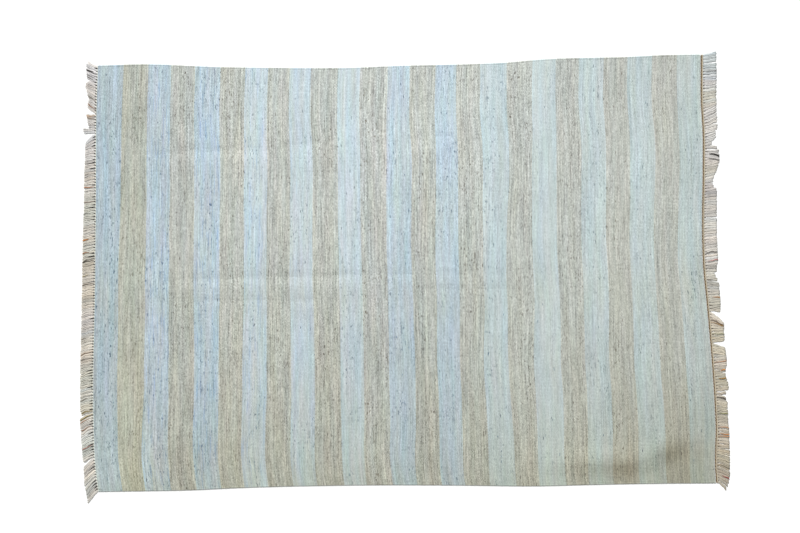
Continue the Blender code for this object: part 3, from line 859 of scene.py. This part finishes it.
RIGHT_END = End(
    *(RIGHT_EDGE, 1, RIGHT_LOCKS, RIGHT_THREADS),
    tints=rows(
        Tint,
        *((0.0, (206, 207, 204)), (0.03, (206, 206, 202)), (0.05, (206, 203, 196))),
        *((0.5, (197, 193, 185)), (0.78, (192, 182, 161)), (1.0, (175, 168, 152))),
    ),
    flat=0.33,
    heading_end=SEAT_GAP + CORD_WIDTH + SEAT_GAP + HEADING_WIDTH,
    roots=0.0108,
    root_tone=1.08,
    fullness=1.3,
    bunching=0.001,
    twine=RIGHT_TWINE,
    tie=Tie(
        *(0.035, 0.0016, 0.003, 0.0013),
        short=(0.002, 0.007),
        long=(0.01, 0.022),
        long_shares=(0.06, 0.12, 0.24),
        dye=(88, 73, 54),
        uneven=0.4,
    ),
    seed=6,
)

# How hand-tied tassels depart from even ones: by about `size` to either side, in waves of these
# lengths along the edge, each kind from a seed of its own.
Wander = namedtuple("Wander", "size lengths count seed")
CROWDING = Wander(0.0013, (0.03, 0.09), 9, 40)  # the roots, off their even spacing
SWAY = Wander(0.002, (0.03, 0.15), 9, 50)  # the tips, many together
BUNCHING = Wander(1.0, (0.018, 0.026), 7, 70)  # the tips, by twos and threes
WAVER = Wander(0.002, (0.02, 0.045), 12, 60)  # neighbouring strands along their length
COOL = Wander(2.6, (0.05, 0.3), 7, 0)  # the dyes towards blue, green and a lighter grey
GREEN = Wander(1.0, (0.03, 0.15), 7, 2)
GREY = Wander(0.048, (0.018, 0.08), 9, 1)
# how the painted shadows' grey varies along the edge
GAP_SHADOW_GREY = Wander(1.0, (0.03, 0.12), 7, 3)
STRAY = 0.001  # how far one tassel alone strays from its place
BOW = 0.0007  # and how far it bows

# A tassel: strands that start together, loosen and spread towards their tips.
STRANDS = 4
STRAND_STEPS = 13
TWIST_PITCH = 0.12
LAYERING = 0.6  # how far the strands lie over each other
ROOT_RISE = 0.0012  # how much higher they leave the heading
PILE = 0.004  # how high tassels climb where their tips crowd together
YARN_GAP = 0.00005  # between a yarn and the floor
Section = namedtuple("Section", "share spread radius")
STRAND_SECTIONS = rows(
    Section,
    (0.0, 0.002, 0.0019), (0.12, 0.0024, 0.0021), (0.3, 0.0034, 0.0025), (0.85, 0.0041, 0.0027),
    (1.0, 0.0041, 0.0025),
)
THREAD_RADIUS = 0.0013
THREAD_TOP = 0.0058  # a coloured thread's height at the root, and how much lower its tip is
THREAD_FALL = 0.0014
THREAD_ASIDE = 0.0016  # how far it lies beside the middle of its tassel
GAP_SHADOW_STEPS = 5
LONG_GAP_SHADOW = (0.5, 0.9, 0.65, 0.3)  # the painted shadows' thickness along them
SHORT_GAP_SHADOW = (0.8, 1.0, 0.95, 0.6)
CLOSED_TIPS = 0.016  # a painted shadow is long only where the tips are closer than this
OPEN_TIPS = 0.018  # and half as long where they stand further apart than this

TasselRow = namedtuple("TasselRow", "roots leans reaches piled")


def wander(kind, end, x, y=0.0):
    return kind.size * waves(x, y, kind.lengths, kind.count, seed=end.seed + kind.seed)


def tassel_row(end, random):
    """Where the tassels of an end leave their heading, and how they lean, reach and climb."""
    near, far = edge_ends(end.edge)
    roots = np.linspace(TASSEL_MARGIN, far - near - TASSEL_MARGIN, TASSELS)
    roots += wander(CROWDING, end, roots)
    known, leans, reaches = zip(*end.locks)
    leans = np.interp(roots, known, leans) + random.normal(0, 0.6 * STRAY, TASSELS)
    leans += wander(SWAY, end, roots)
    leans += end.bunching * wander(BUNCHING, end, roots)
    reaches = end.heading_end - end.roots + np.interp(roots, known, reaches)
    return TasselRow(roots, leans, reaches, PILE * np.clip(-np.gradient(leans, roots), 0, 1))


def tassel_point(end, root, lean, reach, share):
    """A tassel's middle line in plan, as in the part."""
    y = end.edge[-1].along - root - lean * np.maximum(share, 0) ** TASSEL_EASE
    return end_line(end.edge, end.side, end.roots, y) + end.side * reach * share, y


def tassel_strands(piece, end, random, row):
    """The yarns of all the tassels of an end."""
    share = np.linspace(0, 1, STRAND_STEPS)
    shares, spreads, radii = zip(*STRAND_SECTIONS)
    spread = np.interp(share, shares, spreads) * np.interp(share, (0, 0.3), (end.fullness, 1))
    # Painted light at the roots, against the shade by the heading.
    painted_root_light = (1, end.root_tone, 1 + 0.3 * (end.root_tone - 1), 1)
    painted_light = np.interp(share, (0, 0.12, 0.3, 0.6), painted_root_light)
    places, colours = zip(*end.tints)
    for root, lean, reach, pile in zip(*row):
        start, bow = random.uniform(0, 2 * pi), random.normal(0, BOW)
        place = root / row.roots[-1]
        tone = np.array([np.interp(place, places, channel) for channel in zip(*colours)])
        cool = wander(COOL, end, root) + random.normal(0, COOL.size / 2)
        green = wander(GREEN, end, root)
        grey = 0.985 + wander(GREY, end, root) + random.normal(0, GREY.size / 2)
        tone = tone * grey + cool * np.array((-1, 0, 1)) + green * np.array((-1, 1, -1))
        turns = reach / TWIST_PITCH * random.uniform(-1.2, 1.2)
        for k in range(STRANDS):
            grown, stray = reach * random.uniform(0.96, 1.02), random.normal(0, 1.1 * STRAY)
            x, y = tassel_point(end, root, lean, grown, share)
            phase = start + 2 * pi * (k / STRANDS + turns * share * (1 - 0.5 * share))
            y = y + spread * np.cos(phase) + bow * np.sin(pi * share) + stray * share
            y = y + share * wander(WAVER, end, x, y)
            radius = np.interp(share, shares, radii) * random.uniform(0.8, 1.15)
            layered = LAYERING * spread * (1 - 0.35 * share) * (1 + np.sin(phase))
            z = end.flat * (radius + layered) + YARN_GAP
            z = z + ROOT_RISE * (1 - share) ** 3 + pile * share
            dye = np.clip(tone * random.uniform(0.98, 1.02), 0, 255)
            piece.tube(x, y, z, radius, dye, turn=0.9, lobe=0.12, flat=end.flat, painted_light=painted_light)


def coloured_threads(piece, end, random, row):
    share = np.linspace(0, 1, STRAND_STEPS)
    for thread in end.threads:
        k = np.argmin(abs(row.roots - thread.root))
        along = thread.start + (1 - thread.start) * share
        x, y = tassel_point(end, row.roots[k], row.leans[k], row.reaches[k], along)
        aside = THREAD_ASIDE * np.sign(random.normal())
        y = y - aside * np.sin(pi * np.minimum(1, 0.2 + along) / 1.6)
        y = y + along * wander(WAVER, end, x, y)
        z = THREAD_TOP - THREAD_FALL * along + row.piled[k] * along
        swell = np.interp(share, (0, 0.5, 0.9, 1), (0.3, 0.85, 1.15, 0.6))
        radius = THREAD_RADIUS * thread.size * swell
        piece.tube(x, y, z, radius, thread.colour, turn=0.9, flat=0.7)


def painted_gap_shadows(piece, end, random, row):
    """Dark yarns of painted shadow in the gaps between neighbouring tassels."""
    tie = end.tie
    share = np.linspace(0, 1, GAP_SHADOW_STEPS)
    tips = row.roots + row.leans
    for k in np.flatnonzero(row.roots[:-1] > tie.first):
        apart = tips[k + 1] - tips[k]
        long_share = np.interp(k / (TASSELS - 1), (0, 0.5, 1), tie.long_shares)
        is_long = random.random() < long_share and apart < CLOSED_TIPS
        length = random.uniform(*(tie.long if is_long else tie.short))
        length *= 0.5 if apart > OPEN_TIPS else 1.0
        root, lean, reach = ((column[k] + column[k + 1]) / 2 for column in row[:3])
        root += random.normal(0, 0.3 * STRAY)
        x, y = tassel_point(end, root, lean, reach, (tie.start + share * length) / reach)
        swell = np.interp(share, (0, 0.2, 0.6, 1), LONG_GAP_SHADOW if is_long else SHORT_GAP_SHADOW)
        radius = tie.radius * random.uniform(0.75, 1.1) * swell
        z = np.maximum(0.5 * radius + YARN_GAP, tie.top * (1 - 0.6 * share))
        dye = np.array(tie.dye) * random.uniform(*((0.7, 1.3) if is_long else (0.8, 1.4)))
        dye = dye * (1 + tie.uneven * wander(GAP_SHADOW_GREY, end, root))
        piece.tube(x, y, z, radius, dye, turn=0.4, flat=0.6)


def fringe(name, end):
    """An end's twined heading and its tassels, with painted shadow in the gaps between them."""
    piece = Piece()
    twined_row(piece, end.edge, end.side, end.twine)
    random = np.random.default_rng(end.seed)
    row = tassel_row(end, random)
    for part in (tassel_strands, coloured_threads, painted_gap_shadows):
        part(piece, end, random, row)
    return piece.make(name, yarn_material(name, painted_groove_shade=0.12))


def end_cord():
    piece = Piece()
    twined_row(piece, RIGHT_EDGE, 1, CORD_TWINE)
    return piece.make("end_cord_twist", yarn_material("cord_yarn", painted_groove_shade=0.18))


# ---- Slubs ----
# Thick, darker places in the weft: how many a stripe has where its `flecks` is 1.
BLUE_SLUBS = 26
BEIGE_SLUBS = 9
SLUB_STEPS = 5


def slubs():
    """All the slubs, which lie on the cloth."""
    piece = Piece()
    random = np.random.default_rng(8)
    share = np.linspace(-0.5, 0.5, SLUB_STEPS)
    for k, weft in enumerate(CHART):
        blue = weft.colour[2] > weft.colour[0]
        for _ in range(round(weft.flecks * (BLUE_SLUBS if blue else BEIGE_SLUBS))):
            s = (k + random.uniform(0.05, 0.95)) / STRIPES
            t = random.uniform(0.01, 0.99) + share * random.uniform(0.006, 0.016) / CLOTH_WIDTH
            t = np.clip(t, 0.004, 0.996)
            radius = random.uniform(0.0008, 0.0014)
            dye = np.clip(np.array(weft.fleck) * random.uniform(0.8, 1.35), 0, 255)
            x, y = cloth_plan(s + stripe_drift(np.full(SLUB_STEPS, s), t) / CLOTH_LENGTH, t)
            x = x + random.normal(0, 0.0003) * np.arange(SLUB_STEPS)
            z = lift(x, y) + CLOTH + surface_relief(x, y) + 0.15 * radius
            radii = radius * np.cos(2.6 * share)
            piece.tube(x, y, z, radii, dye, turn=0.7, lobe=0.12, flat=0.45)
    return piece.make("slubs", yarn_material("slubs", painted_groove_shade=0.15))


# ---- Stage ----
PHOTO_WIDTH_M = 3.024  # what the photograph's 800 pixels span on the floor
CAMERA_HEIGHT = 5.0
PHOTO_CENTRE = (-0.0189, 0.0387)
FLOOR = (0.93, 0.93, 0.92)
FLOOR_REACH = 40.0
AMBIENT = 0.5
SOFTBOX = 3.4
SOFTBOX_WIDTH = 0.6  # seen from the rug, in radians
SOFTBOX_TURN = (-0.82, 0.0, 0.5)


def stage():
    scene = bpy.context.scene
    scene.view_settings.view_transform = "Standard"
    mesh = bpy.data.meshes.new("floor")
    corners = ((-1, -1), (1, -1), (1, 1), (-1, 1))
    points = [(FLOOR_REACH * x, FLOOR_REACH * y, 0.0) for x, y in corners]
    mesh.from_pydata(points, [], [(0, 1, 2, 3)])
    g = Graph("floor", roughness=0.95, sheen=0.0)
    x, y, _ = g.split(g.node("ShaderNodeTexCoord").outputs["Object"])
    colour = g.scaled(FLOOR, g.line(g.noise(x, y), 0.01, 0.995))
    link("floor", mesh, g.finish(colour))

    world = scene.world or bpy.data.worlds.new("studio")
    scene.world = world
    world.use_nodes = True
    background = world.node_tree.nodes["Background"]
    background.inputs["Color"].default_value = (0.98, 0.99, 1.0, 1.0)
    background.inputs["Strength"].default_value = AMBIENT

    lamp = bpy.data.lights.new("softbox", "SUN")
    lamp.angle = SOFTBOX_WIDTH
    lamp.energy = SOFTBOX
    light = bpy.data.objects.new("softbox", lamp)
    light.rotation_euler = SOFTBOX_TURN
    scene.collection.objects.link(light)

    camera = bpy.data.cameras.new("camera")
    camera.lens = camera.sensor_width * CAMERA_HEIGHT / PHOTO_WIDTH_M
    eye = bpy.data.objects.new("camera", camera)
    eye.location = (PHOTO_CENTRE[0] - ORIGIN[0], PHOTO_CENTRE[1] - ORIGIN[1], CAMERA_HEIGHT)
    scene.collection.objects.link(eye)
    scene.camera = eye


# ---- Putting it together ----
def main():
    stage()
    cloth = woven_cloth()
    cord = end_cord()
    left = fringe("fringe_left_yarns", LEFT_END)
    right = fringe("fringe_right_yarns", RIGHT_END)
    nubs = slubs()
    for piece, node, slot in (
        (cloth, "woven_field", "flatweave"),
        (cord, "end_cord", "cord_yarn"),
        (left, "fringe_left", "fringe_yarn"),
        (right, "fringe_right", "fringe_yarn"),
    ):
        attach(piece, "root")
        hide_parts(node)
    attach(nubs, "root")


main()
